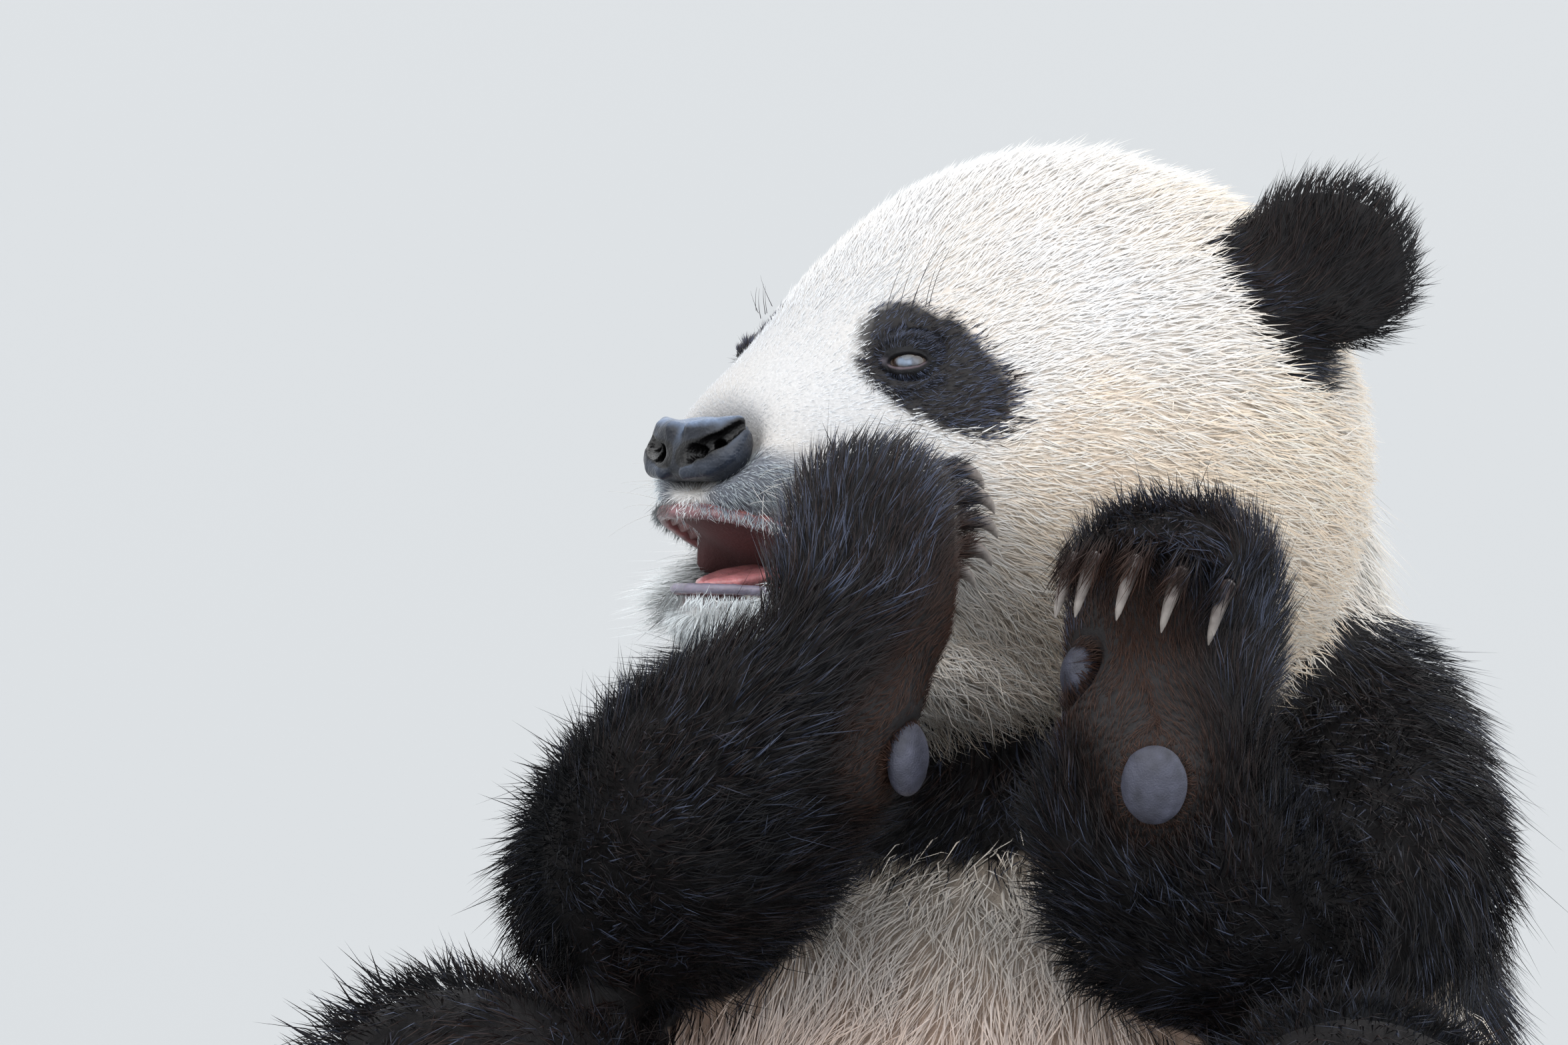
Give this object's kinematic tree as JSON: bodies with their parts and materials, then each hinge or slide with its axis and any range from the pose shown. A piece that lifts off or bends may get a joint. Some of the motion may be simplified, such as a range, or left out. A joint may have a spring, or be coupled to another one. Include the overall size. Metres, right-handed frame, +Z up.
{
  "type": "giant panda",
  "caption": "Giant panda sitting on its rump with knees up, head turned to its right, mouth open and both forepaws raised to it as if holding food; a still life-size animal.",
  "frame": {"origin": "on the floor, at the middle of the flat of the rump that the animal sits on", "axes": "+Z up; the trunk and the legs face -Y, so the animal's own left is +X; the head is turned to its right and a little up"},
  "size_m": [0.5498, 0.8473, 0.6924],
  "materials": {
    "coat_white": "matt",
    "coat_black": "matt",
    "nose": "satin",
    "eye": "gloss",
    "claw": "satin",
    "pad": "matt",
    "tongue": "satin"
  },
  "bodies": {
    "root": {"claw_fore_left_1": "claw", "claw_fore_left_2": "claw", "claw_fore_left_3": "claw", "claw_fore_left_4": "claw", "claw_fore_left_5": "claw", "claw_fore_right_1": "claw", "claw_fore_right_2": "claw", "claw_fore_right_3": "claw", "claw_fore_right_4": "claw", "claw_fore_right_5": "claw", "claw_hind_left_1": "claw", "claw_hind_left_2": "claw", "claw_hind_left_3": "claw", "claw_hind_left_4": "claw", "claw_hind_left_5": "claw", "claw_hind_right_1": "claw", "claw_hind_right_2": "claw", "claw_hind_right_3": "claw", "claw_hind_right_4": "claw", "claw_hind_right_5": "claw", "ear_left": "coat_black", "ear_right": "coat_black", "eye_left": "eye", "eye_right": "eye", "foot_left": "coat_black", "foot_right": "coat_black", "forearm_left": "coat_black", "forearm_right": "coat_black", "forepaw_left": "coat_black", "forepaw_right": "coat_black", "head": "coat_white", "jaw": "coat_white", "neck": "coat_white", "nose": "nose", "pad_thumb_left": "pad", "pad_thumb_right": "pad", "pad_wrist_left": "pad", "pad_wrist_right": "pad", "shank_left": "coat_black", "shank_right": "coat_black", "tail": "coat_white", "thigh_left": "coat_black", "thigh_right": "coat_black", "tongue": "tongue", "trunk": "coat_white", "upper_arm_left": "coat_black", "upper_arm_right": "coat_black"}
  },
  "joints": []
}
